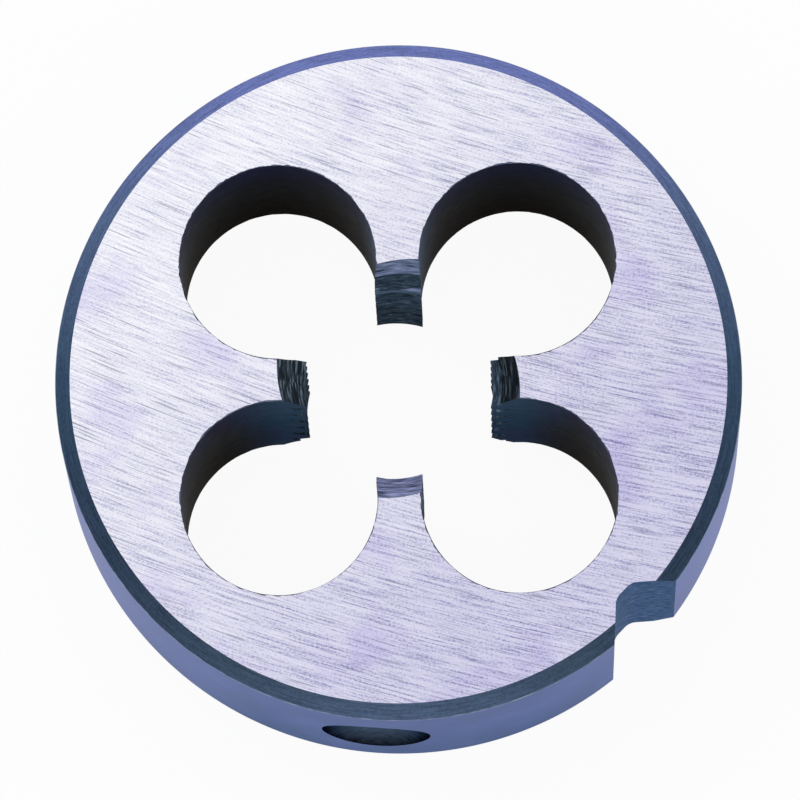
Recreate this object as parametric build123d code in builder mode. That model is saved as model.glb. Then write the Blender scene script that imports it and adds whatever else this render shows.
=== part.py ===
from build123d import *
from math import ceil, radians, sqrt, tan
import os

# Round threading die for M8 x 1.25, right hand: one solid piece of hardened tool steel.
# The axis is Z. Z = 0 is the front face, where the work enters, and Z = thickness is the back
# face. Four cutting lands point in along X and Y, with a clearance hole between each two.

# Blank
outer_d = 25.0           # outside diameter, which seats in the die stock
thickness = 9.0          # front face to back face
rim_chamfer = 0.55       # 45 degree chamfer round both faces

# Thread
thread_d = 8.0           # major diameter of the thread that the die cuts
thread_depth = 0.55      # major diameter to crests, so that the crests stand at 6.9 diameter
root_clearance = 0.1     # how far the grooves go past the major diameter
pitch = 1.25             # distance between two neighbouring threads
thread_angle = 60.0      # between the two flanks of a groove
groove_height = 0.65     # height of a groove's middle where it crosses the land on +X

# Clearance holes, which take the chips and leave the cutting lands between them
land_count = 4
hole_d = 7.15            # diameter of each clearance hole
break_in = 0.857         # how far each hole reaches inside the thread's crests
tip_flare = 0.11         # how much wider a land is at its crests than at its neck

# Leads, the cones that thin the first threads at both faces
front_lead = 1.25        # length of the front lead, in threads
front_angle = 30.0       # slope of its cone from the axis
back_lead = 0.75         # length of the back lead, in threads
back_angle = 45.0        # slope of its cone from the axis
relief = 0.5             # how far each land's cone is set over towards its heel

# Adjusting notch in the rim, in line with a clearance hole
notch_depth = 1.2        # below the outside diameter
notch_root = 0.8         # width of its flat bottom
notch_angle = 96.0       # between its flanks
notch_radius = 0.25      # rounding of the two corners at its bottom

# Screw dimples in the rim, two beside the notch and two opposite
dimple_depth = 2.15      # below the outside diameter
dimple_angle = 90.0      # between the sides of the cone
dimple_swing = 49.5      # from the notch's own diameter, in degrees

# Sizes that follow
outer_r = outer_d / 2
hole_r = hole_d / 2
crest_r = thread_d / 2 - thread_depth
root_r = thread_d / 2 + root_clearance
hole_circle_r = crest_r - break_in + hole_r
land_half = hole_circle_r / sqrt(2) - hole_r + tip_flare / 2
flat_side = hole_circle_r / sqrt(2) - land_half
land_step = 360 / land_count
notch_at = -land_step / 2
overrun = pitch                                            # cutters pass the faces by this

# Thread groove across one land: the ISO profile swept along the helix from the middle of one
# clearance hole to the middle of the next. It starts inside the crests, where the throat is
# empty. Each stretch of the thread is this one, a land further round and that much higher.
mouth_r = crest_r - pitch / 10
root_half = pitch / 16 - root_clearance * tan(radians(thread_angle / 2))
mouth_half = root_half + (root_r - mouth_r) * tan(radians(thread_angle / 2))

with BuildPart() as groove:
    with BuildLine() as helix:
        Helix(pitch=pitch, height=pitch / land_count, radius=crest_r)
    with BuildSketch(Plane.XZ):
        with BuildLine():
            Polyline(
                (mouth_r, -mouth_half),
                (root_r, -root_half),
                (root_r, root_half),
                (mouth_r, mouth_half),
                close=True,
            )
        make_face()
    sweep(path=helix.line, is_frenet=True)

turns = ceil(thickness / pitch) + 1
hole_steps = [step - 0.5 for step in range(-land_count, land_count * turns)]
groove_places = [
    Location((0, 0, groove_height + step * pitch / land_count), (0, 0, step * land_step))
    for step in hole_steps
]


def lead_cutter(threads, angle):
    """The cone for one land, kept to that land's quarter.

    The land points in along X, the face is at Z = 0 with the land below it, and the cone's
    axis is moved over to -Y, so that the land falls away behind its cutting edge at +Y.
    """
    slope = tan(radians(angle))
    mouth = sqrt((crest_r + threads * pitch * slope) ** 2 + relief**2)
    with BuildPart() as cone:
        with BuildSketch(Plane.XZ.offset(relief)):
            with BuildLine():
                Polyline((0, -mouth / slope), (mouth + overrun * slope, overrun), (0, overrun), close=True)
            make_face()
        revolve(axis=Axis((0, -relief, 0), (0, 0, 1)))
        with BuildSketch(Plane.XY.offset(-mouth / slope)):
            Rectangle(outer_d, outer_d, rotation=-land_step / 2, align=(Align.MIN, Align.MIN))
        extrude(amount=mouth / slope + overrun, mode=Mode.INTERSECT)
    return cone.part


front_cutter = lead_cutter(front_lead, front_angle)
back_cutter = lead_cutter(back_lead, back_angle)

with BuildPart() as die:
    # Blank
    with BuildSketch():
        Circle(outer_r)
    extrude(amount=thickness)
    chamfer(die.edges().filter_by(GeomType.CIRCLE), length=rim_chamfer)

    # Throat and clearance holes
    with Locations((0, 0, thickness)):
        Hole(radius=crest_r)
        with PolarLocations(hole_circle_r, land_count, start_angle=land_step / 2):
            Hole(radius=hole_r)

    # Flats along the sides of the lands
    with BuildSketch():
        with PolarLocations(0, land_count):
            with Locations((land_half, land_half)):
                Rectangle(flat_side, flat_side, align=(Align.MIN, Align.MIN))
    extrude(amount=thickness, mode=Mode.SUBTRACT)

    # Leads, with the front one turned over to face down
    with Locations(Rotation(180, 0, 0)):
        with PolarLocations(0, land_count):
            add(front_cutter, mode=Mode.SUBTRACT)
    with Locations((0, 0, thickness)):
        with PolarLocations(0, land_count):
            add(back_cutter, mode=Mode.SUBTRACT)

    # Adjusting notch
    with BuildSketch(Plane.XY.rotated((0, 0, notch_at))) as notch:
        root_x = outer_r - notch_depth
        mouth_x = outer_r + overrun
        flare = notch_root / 2 + (mouth_x - root_x) * tan(radians(notch_angle / 2))
        with BuildLine():
            Polyline(
                (root_x, -notch_root / 2),
                (mouth_x, -flare),
                (mouth_x, flare),
                (root_x, notch_root / 2),
                close=True,
            )
        make_face()
        fillet(notch.vertices().sort_by(Axis.X)[:2], radius=notch_radius)
    extrude(amount=thickness, mode=Mode.SUBTRACT)

    # Screw dimples, half way up the rim
    cone_length = dimple_depth + overrun
    with PolarLocations(0, 2, start_angle=notch_at):
        with Locations(Rotation(0, 0, dimple_swing), Rotation(0, 0, -dimple_swing)):
            with Locations((outer_r - dimple_depth, 0, thickness / 2)):
                Cone(
                    bottom_radius=0,
                    top_radius=cone_length * tan(radians(dimple_angle / 2)),
                    height=cone_length,
                    rotation=(0, 90, 0),
                    align=(Align.CENTER, Align.CENTER, Align.MIN),
                    mode=Mode.SUBTRACT,
                )

    # Thread
    with Locations(*groove_places):
        add(groove.part, mode=Mode.SUBTRACT)

die.part.label = "die"

os.makedirs("parts", exist_ok=True)
export_step(die.part, "parts/die.step")
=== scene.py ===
import bmesh
import bpy
import math
from mathutils import Matrix, Quaternion, Vector, noise


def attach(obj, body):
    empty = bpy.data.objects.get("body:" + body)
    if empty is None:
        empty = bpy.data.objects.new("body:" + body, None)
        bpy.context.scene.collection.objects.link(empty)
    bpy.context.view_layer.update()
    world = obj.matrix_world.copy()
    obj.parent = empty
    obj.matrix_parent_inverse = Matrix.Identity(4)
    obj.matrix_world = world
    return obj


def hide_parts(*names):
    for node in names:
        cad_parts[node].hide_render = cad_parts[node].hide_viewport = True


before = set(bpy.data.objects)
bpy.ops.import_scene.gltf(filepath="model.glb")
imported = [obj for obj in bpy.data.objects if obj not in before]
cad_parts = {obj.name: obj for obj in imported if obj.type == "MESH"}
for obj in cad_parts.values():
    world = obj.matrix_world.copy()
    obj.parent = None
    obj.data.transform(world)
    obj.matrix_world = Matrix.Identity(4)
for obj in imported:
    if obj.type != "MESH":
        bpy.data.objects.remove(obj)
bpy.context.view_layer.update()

# Round threading die for M8 x 1.25, with a clearance hole between each two of its four lands,
# which point in along X and Y; the front face, where the work enters, is at Z = 0
mm = 0.001                       # m
noiseSpan = (0.3, 0.7)           # nearly all of a noise pattern lies between these
scene = bpy.context.scene


def hexColour(code):
    # sRGB hex turned to the linear colour that a shader socket takes
    channels = [int(code[i:i + 2], 16) / 255 for i in (0, 2, 4)]
    return (*[c / 12.92 if c <= 0.04045 else ((c + 0.055) / 1.055) ** 2.4 for c in channels], 1)


def addNode(tree, kind, inputs=None, stops=None, **settings):
    # adds a node and gives its outputs; inputs holds a value or an output to link for each
    # input, stops the places and colours of a ramp
    node = tree.nodes.new("ShaderNode" + kind)
    for name, value in settings.items():
        setattr(node, name, value)
    for socket, value in (inputs or {}).items():
        if isinstance(value, bpy.types.NodeSocket):
            tree.links.new(value, node.inputs[socket])
        else:
            node.inputs[socket].default_value = value
    if stops:
        elements = node.color_ramp.elements
        while len(elements) < len(stops):
            elements.new(0.5)
        for element, (place, colour) in zip(elements, stops):
            element.position = place
            element.color = hexColour(colour)
    return node.outputs


def newMaterial(name):
    material = bpy.data.materials.new(name)
    material.use_nodes = True
    material.node_tree.nodes.clear()
    return material, material.node_tree


def finishMaterial(tree, pattern, rough, bump=None, grooves=None, **surface):
    # the pattern spreads the roughness between two values, and gives a bump of a strength and a
    # depth in mm unless other grooves do; surface names Principled sockets, with _ for a space
    inputs = {socket.replace("_", " "): value for socket, value in surface.items()}
    low, high = noiseSpan
    smooth, dull = rough
    inputs["Roughness"] = addNode(tree, "MapRange", {0: pattern, 1: low, 2: high, 3: smooth, 4: dull})[0]
    if bump:
        strength, depth = bump
        inputs["Normal"] = addNode(tree, "Bump", {
            "Strength": strength, "Distance": depth * mm,
            "Height": pattern if grooves is None else grooves})[0]
    shader = addNode(tree, "BsdfPrincipled", inputs)[0]
    addNode(tree, "OutputMaterial", {"Surface": shader})


def placeInMm(tree):
    # where a point lies on the piece, in mm
    place = addNode(tree, "TexCoord")["Object"]
    return addNode(tree, "VectorMath", {0: place, "Scale": 1 / mm}, operation="SCALE")[0]


def fromAxis(tree, place):
    # how far a point lies from the die's axis
    flat = addNode(tree, "VectorMath", {0: place, 1: (1, 1, 0)}, operation="MULTIPLY")[0]
    return addNode(tree, "VectorMath", {0: flat}, operation="LENGTH")["Value"]


def ringPlace(tree, place):
    # radius, way round the axis and height, so that a pattern can follow a turned face
    xyz = addNode(tree, "SeparateXYZ", {0: place})
    turn = addNode(tree, "Math", {0: xyz["Y"], 1: xyz["X"]}, operation="ARCTAN2")[0]
    way = addNode(tree, "Math", {0: turn, 1: dieSettings["radius"]}, operation="MULTIPLY")[0]
    return addNode(tree, "CombineXYZ", {"X": fromAxis(tree, place), "Y": way, "Z": xyz["Z"]})[0]


def patches(tree, place, size, detail=2.0, rough=0.5):
    # soft noise whose patches are about size mm across, or (x, y, z) mm
    sizes = size if isinstance(size, tuple) else (size, size, size)
    scaled = addNode(tree, "Mapping", {"Vector": place, "Scale": tuple(1 / part for part in sizes)})[0]
    return addNode(tree, "TexNoise", {
        "Vector": scaled, "Scale": 1.0, "Detail": detail, "Roughness": rough})[0]


def ramp(tree, value, stops):
    # colours at the values that the stops give, blended between them
    low, high = stops[0][0], stops[-1][0]
    share = addNode(tree, "MapRange", {0: value, 1: low, 2: high})[0]
    return addNode(tree, "ValToRGB", {0: share}, [
        ((at - low) / (high - low), colour) for at, colour in stops])[0]


# Ground faces: hardened tool steel, ground on a cup wheel, so fine shallow arcs cross the whole face
groundSettings = {
    "wheelCentre": (31, 98),         # mm, centre of the arcs
    "fine": (0.05, 1.6),             # mm, spacing and length; drawn coarser than the real lines
    "long": (0.085, 5.0),
    "scratch": (0.07, 2.4),
    "grain": 0.09,                   # mm, patches
    "cloud": 3.2,
    "stain": 2.4,
    "longShare": 0.45,               # of long lines among fine ones
    "grainShare": 0.35,              # of grain among the lines
    "colour": ((0.36, "bcbcd6"), (0.44, "e0e0ef"), (0.52, "eff0f8"), (0.64, "fcfcff")),
    "shadeWay": (0.7, -0.7, 0),       # towards the half of the face that has painted shade, darker and bluer
    "shadeWander": 8.0,               # mm that the clouds move it
    "paintedShadeTint": ((-6.0, "ffffff"), (12.0, "e0deef")),                  # painted shade, at mm that way
    "heavyLines": ((0.38, "bcb9d0"), (0.5, "ffffff")),
    "heavyShare": (-6.0, 10.0, 0.1, 0.7),            # from and to in mm that way, then shares there
    "stainTint": "e2d9f7",           # lavender where the tempering colours stayed
    "stainShare": (0.55, 0.72, 0.0, 0.5),            # from and to in the noise, then shares
    "scratchColour": "83839f",
    "scratchShare": (0.33, 0.25, 0.0, 0.6),
    "rough": (0.30, 0.42),
    "bump": (0.25, 0.006),           # strength, and depth in mm
}


def groundSteel():
    s = groundSettings
    material, tree = newMaterial("cup_ground_tool_steel")
    place = placeInMm(tree)
    cx, cy = s["wheelCentre"]
    fromWheel = addNode(tree, "Mapping", {
        "Vector": place, "Location": (-cx, -cy, 0), "Scale": (1, 1, 0)})[0]
    across = addNode(tree, "VectorMath", {0: fromWheel}, operation="LENGTH")["Value"]
    xyz = addNode(tree, "SeparateXYZ", {0: fromWheel})
    turn = addNode(tree, "Math", {0: xyz["Y"], 1: xyz["X"]}, operation="ARCTAN2")[0]
    along = addNode(tree, "Math", {0: turn, 1: math.hypot(cx, cy)}, operation="MULTIPLY")[0]
    arc = addNode(tree, "CombineXYZ", {"X": across, "Y": along})[0]

    def lines(name, detail, rough):
        spacing, length = s[name]
        stretched = addNode(tree, "VectorMath", {0: arc, 1: (1 / spacing, 1 / length, 0)},
                            operation="MULTIPLY")[0]
        return addNode(tree, "TexNoise", {
            "Vector": stretched, "Scale": 1.0, "Detail": detail, "Roughness": rough},
            noise_dimensions="2D")[0]

    fine = lines("fine", detail=2.0, rough=0.6)
    longer = lines("long", detail=3.0, rough=0.6)
    scratch = lines("scratch", detail=1.0, rough=0.5)
    grain = patches(tree, place, s["grain"], detail=2.0, rough=0.7)
    cloud = patches(tree, place, s["cloud"], detail=3.0, rough=0.6)
    mixed = addNode(tree, "Mix", {0: s["longShare"], 2: fine, 3: longer}, data_type="FLOAT")[0]
    mixed = addNode(tree, "Mix", {0: s["grainShare"], 2: mixed, 3: grain}, data_type="FLOAT")[0]
    colour = ramp(tree, mixed, s["colour"])

    # painted shade: darker and bluer towards one side, where less light falls, with heavier lines there
    # too
    lean = addNode(tree, "VectorMath", {0: place, 1: s["shadeWay"]}, operation="DOT_PRODUCT")["Value"]
    lean = addNode(tree, "Math", {0: cloud, 1: s["shadeWander"], 2: lean}, operation="MULTIPLY_ADD")[0]
    colour = addNode(tree, "Mix", {0: 1.0, 6: colour, 7: ramp(tree, lean, s["paintedShadeTint"])},
                     data_type="RGBA", blend_type="MULTIPLY")[2]
    heavy = addNode(tree, "MapRange", dict(enumerate([lean, *s["heavyShare"]])))[0]
    colour = addNode(tree, "Mix", {0: heavy, 6: colour, 7: ramp(tree, mixed, s["heavyLines"])},
                     data_type="RGBA", blend_type="MULTIPLY")[2]

    # stains and single deeper scratches
    stain = patches(tree, place, s["stain"])
    stain = addNode(tree, "MapRange", dict(enumerate([stain, *s["stainShare"]])))[0]
    colour = addNode(tree, "Mix", {0: stain, 6: colour, 7: hexColour(s["stainTint"])},
                     data_type="RGBA", blend_type="MULTIPLY")[2]
    deep = addNode(tree, "MapRange", dict(enumerate([scratch, *s["scratchShare"]])))[0]
    colour = addNode(tree, "Mix", {0: deep, 6: colour, 7: hexColour(s["scratchColour"])},
                     data_type="RGBA")[2]
    finishMaterial(tree, mixed, s["rough"], s["bump"], Base_Color=colour, Metallic=1.0)
    return material


# Rim: turned, then steam blued, so lavender blue with rings too fine to see one by one
rimSettings = {
    "rings": (2.0, 3.0, 0.07),       # mm across, round and up; coarser than the real tool marks
    "cloud": 3.0,                    # mm, patches
    "cloudShare": 0.5,
    "colour": ((0.3, "58648f"), (0.5, "6572a6"), (0.7, "7682b6")),
    # painted reflection: a tint on the light that the steel mirrors at a low angle, greyer towards the
    # foot, at heights in mm
    "glance": ((1.0, "a6b6c0"), (4.5, "bac8dd"), (8.0, "c2cee4")),
    "sides": (5.0, 11.5),            # mm from the middle, over which the painted reflection pales
    "paintedSideSheen": "e0e6ff",
    "shade": ((0.36, "f4f4f4"), (0.64, "ffffff")),
    "rough": (0.36, 0.48),
    "bump": (0.25, 0.008),
}


def bluedRim():
    s = rimSettings
    material, tree = newMaterial("blued_turned_steel")
    place = placeInMm(tree)
    rings = patches(tree, ringPlace(tree, place), s["rings"], detail=3.0, rough=0.6)
    cloud = patches(tree, place, s["cloud"], detail=3.0, rough=0.6)
    mixed = addNode(tree, "Mix", {0: s["cloudShare"], 2: rings, 3: cloud}, data_type="FLOAT")[0]
    # painted reflection: greyer towards the foot of the front and paler round the sides
    xyz = addNode(tree, "SeparateXYZ", {0: place})
    sideways = addNode(tree, "Math", {0: xyz["X"]}, operation="ABSOLUTE")[0]
    start, end = s["sides"]
    share = addNode(tree, "MapRange", {0: sideways, 1: start, 2: end})[0]
    glance = addNode(tree, "Mix", {0: share, 6: ramp(tree, xyz["Z"], s["glance"]),
                                   7: hexColour(s["paintedSideSheen"])}, data_type="RGBA")[2]
    glance = addNode(tree, "Mix", {0: 1.0, 6: glance, 7: ramp(tree, mixed, s["shade"])},
                     data_type="RGBA", blend_type="MULTIPLY")[2]
    finishMaterial(tree, mixed, s["rough"], s["bump"], rings, Base_Color=ramp(tree, mixed, s["colour"]),
                   Metallic=1.0, Specular_Tint=glance)
    return material


# Chamfers: turned and left slate blue by the steam, streaked along the cut
chamferSettings = {
    "streaks": (0.06, 1.2, 0.06),    # mm across, round and up; coarser than the real tool marks
    "speck": 0.12,                   # mm
    "speckShare": 0.4,
    # at mm along Y; painted light: brighter and more lavender towards +Y, where more light falls
    "colour": ((-12.5, "5e7495"), (-10.8, "50657f"), (-6.2, "40526c"), (0.0, "455e7a"),
               (6.2, "64779e"), (10.8, "7d89c8")),
    "streakTint": ((0.36, "c4c4c4"), (0.5, "e6e6e6"), (0.6, "ffffff")),
    "glance": "b9c4dd",
    "rough": (0.34, 0.46),
    "bump": (0.3, 0.01),
}


def bluedChamfer():
    s = chamferSettings
    material, tree = newMaterial("blued_chamfer_steel")
    place = placeInMm(tree)
    streaks = patches(tree, ringPlace(tree, place), s["streaks"], detail=2.0, rough=0.6)
    speck = patches(tree, place, s["speck"], detail=2.0, rough=0.7)
    mixed = addNode(tree, "Mix", {0: s["speckShare"], 2: streaks, 3: speck}, data_type="FLOAT")[0]
    # painted light: the colour brightens towards +Y
    colour = ramp(tree, addNode(tree, "SeparateXYZ", {0: place})["Y"], s["colour"])
    colour = addNode(tree, "Mix", {0: 1.0, 6: colour, 7: ramp(tree, mixed, s["streakTint"])},
                     data_type="RGBA", blend_type="MULTIPLY")[2]
    finishMaterial(tree, mixed, s["rough"], s["bump"], Base_Color=colour, Metallic=1.0,
                   Specular_Tint=hexColour(s["glance"]))
    return material


# Notch: milled before hardening, a mottled slate blue
milledSettings = {
    "marks": (0.3, 0.3, 0.07),       # mm, cutter marks
    "colour": ((0.3, "3d5068"), (0.5, "566d8e"), (0.7, "7288ad")),
    "glance": ((0.38, "8592a8"), (0.62, "a9b6d0")),
    "rough": (0.38, 0.5),
    "bump": (0.3, 0.01),
}


def milledSteel():
    s = milledSettings
    material, tree = newMaterial("blackened_milled_steel")
    marks = patches(tree, placeInMm(tree), s["marks"], detail=3.0, rough=0.6)
    finishMaterial(tree, marks, s["rough"], s["bump"], Base_Color=ramp(tree, marks, s["colour"]),
                   Metallic=1.0, Specular_Tint=ramp(tree, marks, s["glance"]))
    return material


# Screw dimples: drilled and blackened, with painted shadow that makes them darkest at their mouth
dimpleFinishSettings = {
    "marks": (0.4, 0.4, 0.1),        # mm, drill marks
    "wander": 0.4,                   # mm that the marks move the colours
    "colour": ((11.0, "546c8b"), (12.0, "4c5d75"), (12.7, "10151b")),  # at mm from the axis; painted shadow at the mouth
    "glance": "7c8698",
    "rough": (0.4, 0.55),
    "bump": (0.1, 0.01),
}


def drilledDimple():
    s = dimpleFinishSettings
    material, tree = newMaterial("blackened_dimple_steel")
    place = placeInMm(tree)
    marks = patches(tree, place, s["marks"], detail=3.0, rough=0.6)
    depth = addNode(tree, "Math", {0: marks, 1: s["wander"], 2: fromAxis(tree, place)},
                    operation="MULTIPLY_ADD")[0]
    finishMaterial(tree, marks, s["rough"], s["bump"], Base_Color=ramp(tree, depth, s["colour"]),
                   Metallic=1.0, Specular_Tint=hexColour(s["glance"]))
    return material


# Clearance holes: drilled and blackened, painted nearly black as shade in the deep holes and darker and
# browner deeper down as painted shade; slate blue up by the lands
boreSettings = {
    "marks": (0.5, 0.5, 0.12),       # mm, drill marks
    "wander": 2.5,                   # mm that the marks move the colours
    # painted shade, darker and browner deeper down, at heights in mm
    "colour": ((0.5, "17130f"), (4.0, "1c1b1c"), (7.5, "1f2228"), (10.5, "2a2e3c")),
    # painted reflection: the mirrored light greys and browns deeper down
    "glance": ((2.5, "8c8885"), (6.2, "999a9c"), (9.2, "9d9eab")),
    "lands": (6.6, 4.4),             # mm from the axis, over which the lands' own colours come in
    "landColour": "26384a",
    # painted reflection by the lands, paler towards the back face
    "landGlance": ((3.2, "989ea8"), (6.2, "9dacb9"), (9.2, "acbcd1")),
    "rough": (0.42, 0.55),
    "bump": (0.3, 0.01),
}


def blackenedBore():
    s = boreSettings
    material, tree = newMaterial("blackened_drilled_steel")
    place = placeInMm(tree)
    marks = patches(tree, place, s["marks"], detail=3.0, rough=0.6)
    # painted shade: the colours and the mirrored light darken with depth
    height = addNode(tree, "SeparateXYZ", {0: place})["Z"]
    height = addNode(tree, "Math", {0: marks, 1: s["wander"], 2: height}, operation="MULTIPLY_ADD")[0]
    start, end = s["lands"]
    near = addNode(tree, "MapRange", {0: fromAxis(tree, place), 1: start, 2: end})[0]
    colour = addNode(tree, "Mix", {0: near, 6: ramp(tree, height, s["colour"]),
                                   7: hexColour(s["landColour"])}, data_type="RGBA")[2]
    glance = addNode(tree, "Mix", {0: near, 6: ramp(tree, height, s["glance"]),
                                   7: ramp(tree, height, s["landGlance"])}, data_type="RGBA")[2]
    finishMaterial(tree, marks, s["rough"], s["bump"], Base_Color=colour, Metallic=1.0,
                   Specular_Tint=glance)
    return material


# Thread: tapped and blackened, dark teal, torn a little along the cut; its crests are rubbed paler and
# carry a painted highlight too, and painted shade darkens and browns flanks and crests deeper in the
# throat, leaving them bluer at its mouth
threadFinishSettings = {
    "tears": (0.08, 2.0, 0.07),      # mm across, round and up
    "colour": ((0.34, "1c242c"), (0.5, "344352"), (0.6, "465a6e"), (0.7, "73889f")),
    # painted shade and highlight, darker and browner deeper in the throat, paler and bluer towards its
    # mouth, at heights in mm
    "flankPaintedShade": ((0.0, "726c60"), (4.0, "737473"), (7.0, "7c828a"), (8.4, "a4b4c8")),
    "crestPaintedShade": ((0.0, "959083"), (4.0, "989895"), (6.6, "a0a5ae"), (7.6, "c2d4ea")),
    "rough": (0.4, 0.55),
    "bump": (0.5, 0.03),
}


def tappedSteel(name, paintedShadeByHeight):
    s = threadFinishSettings
    material, tree = newMaterial(name)
    place = placeInMm(tree)
    tears = patches(tree, ringPlace(tree, place), s["tears"], detail=3.0, rough=0.7)
    height = addNode(tree, "SeparateXYZ", {0: place})["Z"]
    finishMaterial(tree, tears, s["rough"], s["bump"], Base_Color=ramp(tree, tears, s["colour"]),
                   Metallic=1.0, Specular_Tint=ramp(tree, height, paintedShadeByHeight))
    return material


def threadFlanks():
    return tappedSteel("blackened_tapped_flank_steel", threadFinishSettings["flankPaintedShade"])


def threadCrests():
    return tappedSteel("blackened_tapped_crest_steel", threadFinishSettings["crestPaintedShade"])


# Leads: ground after the thread was cut, then blued, with fine lines round the cone; the oxide
# scatters some of the light, so it isn't all metal
leadFinishSettings = {
    "lines": (0.08, 3.5, 0.08),      # mm across, round and up; coarser than the real lines
    "colour": ((-3.4, "c2caff"), (3.4, "97a7cf")),                     # painted light, paler towards -Y, at mm along Y
    "lineTint": ((0.34, "5c6066"), (0.48, "b4b6ba"), (0.58, "dadce0"), (0.68, "ffffff")),
    # painted shade: the lands on X are darker than those on Y, with single bright lines
    "shadedLandColour": ((0.42, "222b33"), (0.54, "3a4752"), (0.63, "8296a8")),
    "shadedLandTint": ((-3.4, "ffffff"), (3.4, "a4a4a4")),                   # painted shade, darker towards +X, at mm along X
    "shadedLands": (3.0, 2.0),         # mm from the X axis, over which they come in
    "metallic": 0.6,
    "glance": "b9c4dd",
    "rough": (0.32, 0.45),
    "bump": (0.4, 0.012),
}


def groundLead():
    s = leadFinishSettings
    material, tree = newMaterial("blued_ground_lead_steel")
    place = placeInMm(tree)
    lines = patches(tree, ringPlace(tree, place), s["lines"], detail=2.0, rough=0.6)
    xyz = addNode(tree, "SeparateXYZ", {0: place})
    colour = addNode(tree, "Mix", {0: 1.0, 6: ramp(tree, xyz["Y"], s["colour"]),
                                   7: ramp(tree, lines, s["lineTint"])},
                     data_type="RGBA", blend_type="MULTIPLY")[2]
    # painted shade on the lands that lie along X
    shadedColour = addNode(tree, "Mix", {0: 1.0, 6: ramp(tree, lines, s["shadedLandColour"]),
                                 7: ramp(tree, xyz["X"], s["shadedLandTint"])},
                   data_type="RGBA", blend_type="MULTIPLY")[2]
    aside = addNode(tree, "Math", {0: xyz["Y"]}, operation="ABSOLUTE")[0]
    start, end = s["shadedLands"]
    onX = addNode(tree, "MapRange", {0: aside, 1: start, 2: end})[0]
    colour = addNode(tree, "Mix", {0: onX, 6: colour, 7: shadedColour}, data_type="RGBA")[2]
    finishMaterial(tree, lines, s["rough"], s["bump"], Base_Color=colour, Metallic=s["metallic"],
                   Specular_Tint=hexColour(s["glance"]))
    return material


# Broken edges: rubbed back to paler steel by tumbling and handling
edgeSettings = {
    "worn": 0.5,                     # mm, patches
    "colour": ((0.35, "55627f"), (0.5, "6a7695"), (0.65, "8d97b3")),
    "rough": (0.3, 0.42),
}


def burnishedEdge():
    s = edgeSettings
    material, tree = newMaterial("burnished_edge_steel")
    worn = patches(tree, placeInMm(tree), s["worn"])
    finishMaterial(tree, worn, s["rough"], Base_Color=ramp(tree, worn, s["colour"]), Metallic=1.0)
    return material


finishes = {"ground": groundSteel, "rim": bluedRim, "chamfer": bluedChamfer, "milled": milledSteel,
            "dimple": drilledDimple, "bore": blackenedBore, "flank": threadFlanks,
            "crest": threadCrests, "lead": groundLead, "edge": burnishedEdge}
finishIndex = {name: place for place, name in enumerate(finishes)}


# The die is shaped in millimetres from a turned blank and cutters, and scaled to metres at the end
touching = 0.001                     # mm, within which two lengths are one
mergeGap = 0.0005                    # mm, within which two points are one

dieSettings = {                      # mm and degrees
    "radius": 12.5,
    "thickness": 9.0,
    "chamfer": 0.55,
    "edgeBreak": 0.035,              # what tumbling takes off the turned edges
    "rimSteps": 320,
    "pitch": 1.25,
    "throatRadius": 3.45,
    "landHalf": 0.8414,              # half a land's width at its crests
    "lands": 4,
    "reach": 1.0,                    # how far cutters pass the faces
    "sliver": 0.0002,                # length under which an edge is dropped
    "sharpAngle": 12.0,              # between two faces, above which their edge stays sharp
}


def paint(bm, finish):
    for face in bm.faces:
        face.material_index = finishIndex[finish]


def closeEnds(bm):
    bmesh.ops.holes_fill(bm, edges=[edge for edge in bm.edges if edge.is_boundary], sides=0)


def lathe(profile, steps, finish):
    # turns a profile of (radius, height) that starts and ends on the axis
    bm = bmesh.new()
    verts = [bm.verts.new((x, 0, z)) for x, z in profile]
    edges = [bm.edges.new(pair) for pair in zip(verts, verts[1:])]
    bmesh.ops.spin(bm, geom=verts + edges, cent=(0, 0, 0), axis=(0, 0, 1), dvec=(0, 0, 0),
                   angle=math.tau, steps=steps, use_merge=True)
    bmesh.ops.remove_doubles(bm, verts=bm.verts, dist=mergeGap)
    bmesh.ops.recalc_face_normals(bm, faces=bm.faces)
    paint(bm, finish)
    return bm


def pieceFrom(bm, name):
    mesh = bpy.data.meshes.new(name)
    bm.to_mesh(mesh)
    bm.free()
    piece = bpy.data.objects.new(name, mesh)
    scene.collection.objects.link(piece)
    return piece


def cutAway(body, bm):
    # the new faces take the cutter's finish
    cutter = pieceFrom(bm, "cutter")
    cut = body.modifiers.new("cut", "BOOLEAN")
    cut.object = cutter
    cut.operation = "DIFFERENCE"
    cut.solver = "EXACT"
    finished = body.evaluated_get(bpy.context.evaluated_depsgraph_get())
    shaped = bpy.data.meshes.new_from_object(finished)
    body.modifiers.remove(cut)
    spent = (body.data, cutter.data)
    body.data = shaped
    bpy.data.objects.remove(cutter)
    for mesh in spent:
        bpy.data.meshes.remove(mesh)


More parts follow.
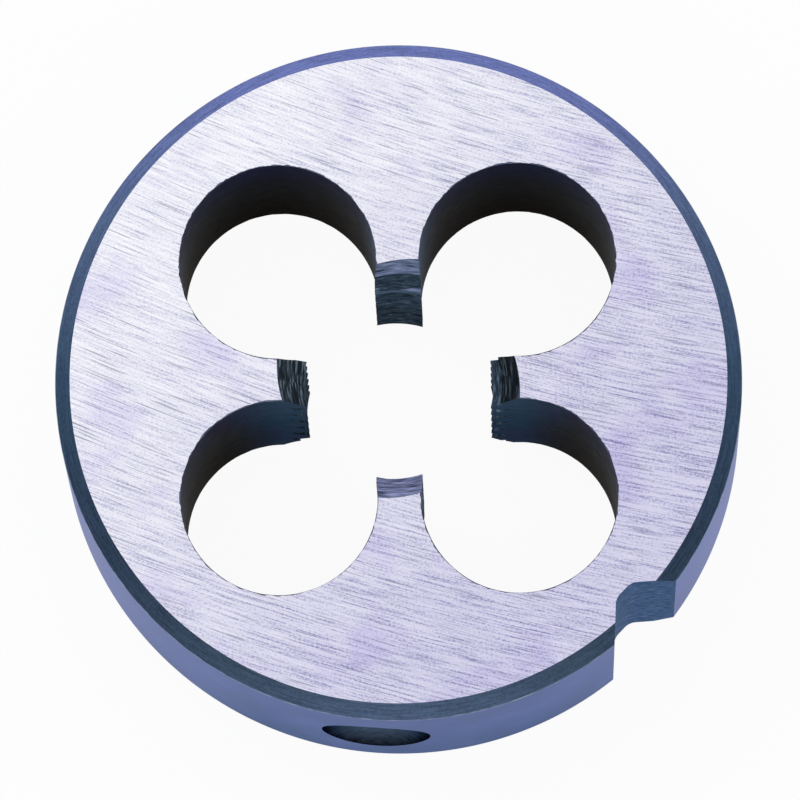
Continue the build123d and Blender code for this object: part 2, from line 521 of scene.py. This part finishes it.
def turnBlank():
    s = dieSettings
    bm = bmesh.new()
    bmesh.ops.create_cone(bm, cap_ends=True, segments=s["rimSteps"], radius1=s["radius"],
                          radius2=s["radius"], depth=s["thickness"])
    bmesh.ops.translate(bm, verts=bm.verts, vec=(0, 0, s["thickness"] / 2))
    for face in bm.faces:
        level = abs(face.normal.z) > 0.5
        face.material_index = finishIndex["ground" if level else "rim"]

    def bevelRings(edges, offset, segments, finish):
        cut = bmesh.ops.bevel(bm, geom=edges, offset=offset, offset_type="OFFSET", affect="EDGES",
                              segments=segments, profile=0.5, material=-1)
        for face in cut["faces"]:
            face.material_index = finishIndex[finish]
        return cut["faces"]

    rims = [edge for edge in bm.edges if edge.verts[0].co.z == edge.verts[1].co.z]
    cones = bevelRings(rims, s["chamfer"], 1, "chamfer")
    outer = {edge for face in cones for edge in face.edges
             if all(vert.co.xy.length > s["radius"] - touching for vert in edge.verts)}
    bevelRings(list(outer), s["edgeBreak"], 2, "edge")       # rounded a little
    return bm


def throatCutter():
    s = dieSettings
    bm = bmesh.new()
    bmesh.ops.create_cone(bm, cap_ends=True, segments=holeSettings["steps"],
                          radius1=s["throatRadius"], radius2=s["throatRadius"],
                          depth=s["thickness"] + 2 * s["reach"])
    bmesh.ops.translate(bm, verts=bm.verts, vec=(0, 0, s["thickness"] / 2))
    paint(bm, "crest")
    return bm


holeSettings = {                     # mm
    "radius": 3.575,
    "circle": 6.168,                 # radius on which the four clearance holes stand
    "break": 0.03,                   # ragged edge where the grinding wheel ran over the holes
    "ragged": 0.035,                 # how far that edge wanders
    "raggedScales": (2.5, 8),        # of the wander, for each mm: broad, and fine
    "fineShare": 0.8,
    "deepest": 0.6,                  # limit of the wander out of the face, as a share
    "steps": 400,
}


def holeCutter(place):
    # flares at both faces, and its flare wanders, so the holes keep a ragged, broken edge
    s, d = holeSettings, dieSettings
    radius, top, reach = s["radius"], d["thickness"], d["reach"]
    flared = radius + s["break"] + reach
    bm = lathe([(0, -reach), (flared, -reach), (radius, s["break"]), (radius, top - s["break"]),
                (flared, top + reach), (0, top + reach)], s["steps"], "bore")
    for face in bm.faces:
        flaring = abs(face.normal.z) > 0.1
        if flaring:
            face.material_index = finishIndex["edge"]
    broad, fine = s["raggedScales"]
    for vert in bm.verts:
        if abs(vert.co.xy.length - radius) < touching:
            seat = Vector((vert.co.x + place.x, vert.co.y + place.y, vert.co.z))
            wander = noise.noise(seat * broad) + s["fineShare"] * noise.noise(seat * fine)
            inward = -1 if vert.co.z > top / 2 else 1
            vert.co.z += inward * s["ragged"] * max(wander, -s["deepest"])
    bmesh.ops.translate(bm, verts=bm.verts, vec=place)
    return bm


def landSideCutter(turn):
    # squares off the sides of the lands between the holes and the throat
    d = dieSettings
    near, far = d["landHalf"], holeSettings["circle"] / math.sqrt(2)
    side, middle = far - near, (far + near) / 2
    bm = bmesh.new()
    bmesh.ops.create_cube(bm, size=1.0)
    bmesh.ops.scale(bm, verts=bm.verts, vec=(side, side, d["thickness"] + 2 * d["reach"]))
    bmesh.ops.translate(bm, verts=bm.verts, vec=(middle, middle, d["thickness"] / 2))
    bmesh.ops.rotate(bm, verts=bm.verts, cent=(0, 0, 0), matrix=Matrix.Rotation(turn, 3, "Z"))
    paint(bm, "bore")
    return bm


leadSettings = {
    "front": {"threads": 1.25, "angle": 30.0},       # its length, and degrees from the axis
    "back": {"threads": 0.75, "angle": 45.0},
    "relief": 0.5,                   # mm that a lead's axis is set over towards the land's heel
    "steps": 256,
}


def leadCutter(face, place):
    # a cone about an axis set over from the die's own, kept to one land's quarter
    s, d = leadSettings, dieSettings
    lead = s[face]
    slope = math.tan(math.radians(lead["angle"]))
    mouth = math.hypot(d["throatRadius"] + lead["threads"] * d["pitch"] * slope, s["relief"])
    bm = lathe([(0, -mouth / slope), (mouth + d["reach"] * slope, d["reach"]), (0, d["reach"])],
               s["steps"], "lead")
    bmesh.ops.translate(bm, verts=bm.verts, vec=(0, -s["relief"], 0))
    for side in (-1, 1):
        bmesh.ops.bisect_plane(bm, geom=bm.verts[:] + bm.edges[:] + bm.faces[:], plane_co=(0, 0, 0),
                               plane_no=(-1, side, 0), clear_outer=True)
        closeEnds(bm)
    bmesh.ops.recalc_face_normals(bm, faces=bm.faces)
    bmesh.ops.transform(bm, matrix=place, verts=bm.verts)
    return bm


notchSettings = {                    # mm and degrees
    "turn": -44.3,                   # from +X
    "depth": 1.2,
    "root": 0.8,                     # width of its flat bottom
    "angle": 96.0,                   # between its sides
    "rootRound": 0.2,                # taken off along each side of its two corners
    "roundSteps": 6,
}


def notchCutter():
    s, d = notchSettings, dieSettings
    half, root, out = s["root"] / 2, d["radius"] - s["depth"], d["radius"] + d["reach"]
    flare = half + (out - root) * math.tan(math.radians(s["angle"] / 2))
    bm = bmesh.new()
    corners = [(root, -half), (out, -flare), (out, flare), (root, half)]
    outline = bm.faces.new([bm.verts.new((x, y, -d["reach"])) for x, y in corners])
    grown = bmesh.ops.extrude_face_region(bm, geom=[outline])["geom"]
    bmesh.ops.translate(bm, verts=[part for part in grown if isinstance(part, bmesh.types.BMVert)],
                        vec=(0, 0, d["thickness"] + 2 * d["reach"]))
    closeEnds(bm)
    inner = [edge for edge in bm.edges if all(vert.co.x < root + touching for vert in edge.verts)
             and edge.verts[0].co.y == edge.verts[1].co.y]
    bmesh.ops.bevel(bm, geom=inner, offset=s["rootRound"], offset_type="OFFSET", affect="EDGES",
                    segments=s["roundSteps"], profile=0.5, material=-1)
    bmesh.ops.recalc_face_normals(bm, faces=bm.faces)
    bmesh.ops.rotate(bm, verts=bm.verts, cent=(0, 0, 0),
                     matrix=Matrix.Rotation(math.radians(s["turn"]), 3, "Z"))
    paint(bm, "milled")
    return bm


dimpleSettings = {
    "turns": (-94.5, 4.5, 85.5, 184.5),              # degrees from +X
    "depth": 2.15,                   # mm, of a 90 degree cone
    "steps": 96,
}


def dimpleCutter(turn):
    s, d = dimpleSettings, dieSettings
    length = s["depth"] + d["reach"]
    bm = lathe([(0, 0), (length, length), (0, length)], s["steps"], "dimple")
    tip = Matrix.Translation((d["radius"] - s["depth"], 0, d["thickness"] / 2))
    seat = Matrix.Rotation(turn, 4, "Z") @ tip @ Matrix.Rotation(math.pi / 2, 4, "Y")
    bmesh.ops.transform(bm, matrix=seat, verts=bm.verts)
    return bm


threadSettings = {                   # mm and degrees
    "height": 0.65,                  # of a groove where it crosses the land on +X
    "root": 4.1,                     # radius that the grooves reach
    "rootHalf": 0.0204,              # half their width there
    "inset": 0.125,                  # how far inside the crests their cutter starts
    "angle": 60.0,                   # between their flanks
    "steps": 96,                     # for each turn
}


def grooveCutter():
    # the thread's profile taken round and up from below the die to above it
    s, d = threadSettings, dieSettings
    pitch, steps, root, rootHalf = d["pitch"], s["steps"], s["root"], s["rootHalf"]
    inner = d["throatRadius"] - s["inset"]
    innerHalf = rootHalf + (root - inner) * math.tan(math.radians(s["angle"] / 2))
    turns = math.ceil((d["thickness"] + 2 * pitch) / pitch) + 1
    start = s["height"] - 2 * pitch
    bm = bmesh.new()
    corners = [(inner, -innerHalf), (root, -rootHalf), (root, rootHalf), (inner, innerHalf)]
    profile = bm.faces.new([bm.verts.new((x, 0, start + z)) for x, z in corners])
    bmesh.ops.spin(bm, geom=profile.verts[:] + profile.edges[:] + [profile], cent=(0, 0, 0),
                   axis=(0, 0, 1), dvec=(0, 0, pitch / steps), angle=math.tau * turns,
                   steps=turns * steps)
    closeEnds(bm)
    bmesh.ops.recalc_face_normals(bm, faces=bm.faces)
    paint(bm, "flank")
    return bm


def makeDie():
    d = dieSettings
    die = pieceFrom(turnBlank(), "steel_die")
    for finish in finishes.values():
        die.data.materials.append(finish())
    print("blank turned,", len(finishes), "finishes made")

    quarters = [math.tau * n / d["lands"] for n in range(d["lands"])]
    toHole = Vector((1, 1, 0)) * holeSettings["circle"] / math.sqrt(2)
    cutAway(die, throatCutter())
    for turn in quarters:
        cutAway(die, holeCutter(Matrix.Rotation(turn, 3, "Z") @ toHole))
        cutAway(die, landSideCutter(turn))
    print("throat and clearance holes cut")

    backFace = Matrix.Translation((0, 0, d["thickness"]))
    frontFace = Matrix.Rotation(math.pi, 4, "X")
    for turn in quarters:
        spin = Matrix.Rotation(turn, 4, "Z")
        cutAway(die, leadCutter("back", spin @ backFace))
        cutAway(die, leadCutter("front", spin @ frontFace))
    cutAway(die, notchCutter())
    for turn in dimpleSettings["turns"]:
        cutAway(die, dimpleCutter(math.radians(turn)))
    cutAway(die, grooveCutter())
    print("leads, notch, dimples and thread cut")

    bm = bmesh.new()
    bm.from_mesh(die.data)
    bmesh.ops.remove_doubles(bm, verts=bm.verts, dist=mergeGap)
    bmesh.ops.dissolve_degenerate(bm, edges=bm.edges, dist=d["sliver"])
    for face in bm.faces:
        face.smooth = face.material_index != finishIndex["ground"]
    bmesh.ops.scale(bm, verts=bm.verts, vec=(mm, mm, mm))
    openEdges = sum(not edge.is_manifold for edge in bm.edges)
    print("die finished:", len(bm.faces), "faces,", openEdges, "open edges")
    bm.to_mesh(die.data)
    bm.free()
    die.data.set_sharp_from_angle(angle=math.radians(d["sharpAngle"]))
    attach(die, "root")
    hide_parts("die")


makeDie()


# Floor and light
studioSettings = {
    "floorSize": 3.0,                # m
    "floorDrop": 0.02,               # mm below the die
    "floorColour": "f3f3f3",
    "floorShine": 0.94,              # share of plain white that the camera sees of the floor
    "skyLight": 1.0,
    "sideShade": 0.5,                # how much darker the sky is to the left and right
    "nearShade": 0.3,                # and towards the front
    "keyPower": 1.2,                 # W
    "keySize": 0.5,                  # m
    "keyPlace": (-0.45, 0.35, 0.55),                                  # m
}


def whiteForView(tree, plain, white, share, rays):
    # white to the rays that see it, by its share, and the plain shader for the light itself
    path = addNode(tree, "LightPath")
    seen = path[rays[0]]
    for ray in rays[1:]:
        seen = addNode(tree, "Math", {0: seen, 1: path[ray]}, operation="MAXIMUM")[0]
    part = addNode(tree, "Math", {0: seen, 1: share}, operation="MULTIPLY")[0]
    return addNode(tree, "MixShader", {0: part, 1: plain, 2: white})[0]


def makeStudio():
    s = studioSettings
    white = hexColour("ffffff")
    bm = bmesh.new()
    bmesh.ops.create_grid(bm, x_segments=1, y_segments=1, size=s["floorSize"] / 2)
    bmesh.ops.translate(bm, verts=bm.verts, vec=(0, 0, -s["floorDrop"] * mm))
    floor = pieceFrom(bm, "floor")
    # pale card, a soft matt white that keeps the die's shadow
    material, tree = newMaterial("pale_card")
    card = addNode(tree, "BsdfDiffuse", {"Color": hexColour(s["floorColour"])})[0]
    glow = addNode(tree, "Emission", {"Color": white, "Strength": 1.0})[0]
    addNode(tree, "OutputMaterial", {"Surface": whiteForView(
        tree, card, glow, s["floorShine"], ["Is Camera Ray", "Is Glossy Ray", "Is Transmission Ray"])})
    floor.data.materials.append(material)

    world = bpy.data.worlds.new("studio")
    world.use_nodes = True
    tree = world.node_tree
    tree.nodes.clear()
    # the sky falls off softly to both sides and towards the front, as round a light tent
    way = addNode(tree, "TexCoord")["Generated"]
    xyz = addNode(tree, "SeparateXYZ", {0: way})
    sides = addNode(tree, "Math", {0: xyz["X"], 1: xyz["X"]}, operation="MULTIPLY")[0]
    level = addNode(tree, "Math", {0: sides, 1: -s["sideShade"], 2: s["skyLight"]},
                    operation="MULTIPLY_ADD")[0]
    near = addNode(tree, "MapRange", {0: xyz["Y"], 1: 0.0, 2: -1.0, 3: 0.0, 4: s["nearShade"]})[0]
    level = addNode(tree, "Math", {0: level, 1: near}, operation="SUBTRACT")[0]
    light = addNode(tree, "Background", {"Color": white, "Strength": level})[0]
    backdrop = addNode(tree, "Background", {"Color": white, "Strength": 1.0})[0]
    addNode(tree, "OutputWorld", {"Surface": whiteForView(
        tree, light, backdrop, 1.0, ["Is Camera Ray", "Is Transmission Ray"])})
    scene.world = world

    lamp = bpy.data.lights.new("softbox", "AREA")
    lamp.size = s["keySize"]
    lamp.energy = s["keyPower"]
    key = bpy.data.objects.new("softbox", lamp)
    key.location = s["keyPlace"]
    key.rotation_euler = (-key.location).to_track_quat("-Z", "Y").to_euler()
    scene.collection.objects.link(key)
    print("studio ready")


makeStudio()


cameraSettings = {
    "azimuth": 3.2,                  # degrees round from the front
    "elevation": 79.52,              # degrees above the floor
    "roll": -3.75,                   # degrees
    "distance": 428.0,               # mm
    "target": (-0.04, 0.86, 0.0),    # mm
    "lens": 519.0,                   # mm
    "sensor": 36.0,                  # mm
    "nearest": 0.01,                 # m that it can see
}


def placeCamera():
    s = cameraSettings
    azimuth, elevation, roll = (math.radians(s[name]) for name in ("azimuth", "elevation", "roll"))
    back = Vector((math.sin(azimuth) * math.cos(elevation), -math.cos(azimuth) * math.cos(elevation),
                   math.sin(elevation)))
    lens = bpy.data.cameras.new("camera")
    lens.lens = s["lens"]
    lens.sensor_width = s["sensor"]
    lens.clip_start = s["nearest"]
    camera = bpy.data.objects.new("camera", lens)
    camera.location = (Vector(s["target"]) + back * s["distance"]) * mm
    turn = back.to_track_quat("Z", "Y")
    turn.rotate(Quaternion(back, roll))
    camera.rotation_euler = turn.to_euler()
    scene.collection.objects.link(camera)
    scene.camera = camera
    print("camera placed")


placeCamera()

scene.view_settings.view_transform = "Standard"
